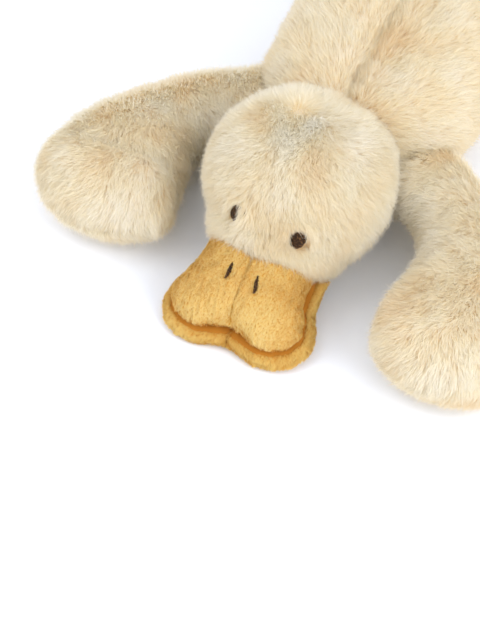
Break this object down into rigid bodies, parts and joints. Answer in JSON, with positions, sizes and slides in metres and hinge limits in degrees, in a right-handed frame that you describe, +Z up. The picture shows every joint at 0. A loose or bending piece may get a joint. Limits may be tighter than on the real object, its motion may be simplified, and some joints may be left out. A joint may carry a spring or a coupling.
{
  "type": "plush duck",
  "caption": "Soft long-pile toy duck lying on its belly, with a puffy two-layer velour bill, spread wings, splayed legs with webbed feet, and embroidered eyes.",
  "frame": {"origin": "on the floor that the duck lies on, at the middle of its bounding box", "axes": "+Z up, -Y the way the duck faces, +X the duck's own left"},
  "size_m": [0.3166, 0.4008, 0.1042],
  "materials": {
    "cream_plush": "long brushed pile, matted into small tufts",
    "mustard_velour": "short even velour",
    "polyester_fibre": "loose white filling, not seen from outside",
    "embroidery_thread": "dark brown satin stitch with a soft lustre"
  },
  "bodies": {
    "body": {"body_skin": "cream_plush", "body_filling": "polyester_fibre"},
    "head": {"eye_left": "embroidery_thread", "eye_right": "embroidery_thread", "head_skin": "cream_plush", "head_filling": "polyester_fibre"},
    "bill": {"nostril_left": "embroidery_thread", "nostril_right": "embroidery_thread", "bill_upper_skin": "mustard_velour", "bill_upper_filling": "polyester_fibre", "bill_lower_skin": "mustard_velour", "bill_lower_filling": "polyester_fibre"},
    "wing_left": {"wing_left_skin": "cream_plush", "wing_left_filling": "polyester_fibre"},
    "wing_right": {"wing_right_skin": "cream_plush", "wing_right_filling": "polyester_fibre"},
    "leg_left": {"leg_left_skin": "cream_plush", "leg_left_filling": "polyester_fibre"},
    "leg_right": {"leg_right_skin": "cream_plush", "leg_right_filling": "polyester_fibre"},
    "foot_left": {"foot_left_skin": "mustard_velour", "foot_left_filling": "polyester_fibre"},
    "foot_right": {"foot_right_skin": "mustard_velour", "foot_right_filling": "polyester_fibre"},
    "tail": {"tail_skin": "cream_plush", "tail_filling": "polyester_fibre"}
  },
  "joints": [
    {"name": "neck_nod", "type": "hinge", "parent": "body", "child": "head", "pos_m": [-0.00157, -0.05442, 0.06562], "axis": [-1, 0, 0], "range_deg": [-18, 30]},
    {"name": "bill_flex", "type": "hinge", "parent": "head", "child": "bill", "pos_m": [-0.00557, -0.15187, 0.04104], "axis": [-1, 0, 0], "range_deg": [-8, 14]},
    {"name": "wing_left_lift", "type": "hinge", "parent": "body", "child": "wing_left", "pos_m": [0.03386, -0.05505, 0.0495], "axis": [-0.8466, -0.5322, 0], "range_deg": [-15, 45]},
    {"name": "wing_right_lift", "type": "hinge", "parent": "body", "child": "wing_right", "pos_m": [-0.04062, -0.05242, 0.0495], "axis": [-0.8399, 0.5427, 0], "range_deg": [-15, 45]},
    {"name": "leg_left_lift", "type": "hinge", "parent": "body", "child": "leg_left", "pos_m": [0.04007, 0.08621, 0.042], "axis": [0.8354, -0.5496, 0], "range_deg": [-20, 35]},
    {"name": "leg_right_lift", "type": "hinge", "parent": "body", "child": "leg_right", "pos_m": [-0.04322, 0.08621, 0.042], "axis": [0.8354, 0.5496, 0], "range_deg": [-20, 35]},
    {"name": "foot_left_flex", "type": "hinge", "parent": "leg_left", "child": "foot_left", "pos_m": [0.08243, 0.15058, 0.018], "axis": [0.7029, -0.7113, 0], "range_deg": [-20, 30]},
    {"name": "foot_right_flex", "type": "hinge", "parent": "leg_right", "child": "foot_right", "pos_m": [-0.08557, 0.15058, 0.018], "axis": [0.7029, 0.7113, 0], "range_deg": [-20, 30]},
    {"name": "tail_flex", "type": "hinge", "parent": "body", "child": "tail", "pos_m": [-0.00157, 0.1077, 0.05553], "axis": [1, 0, 0], "range_deg": [-12, 22]}
  ]
}
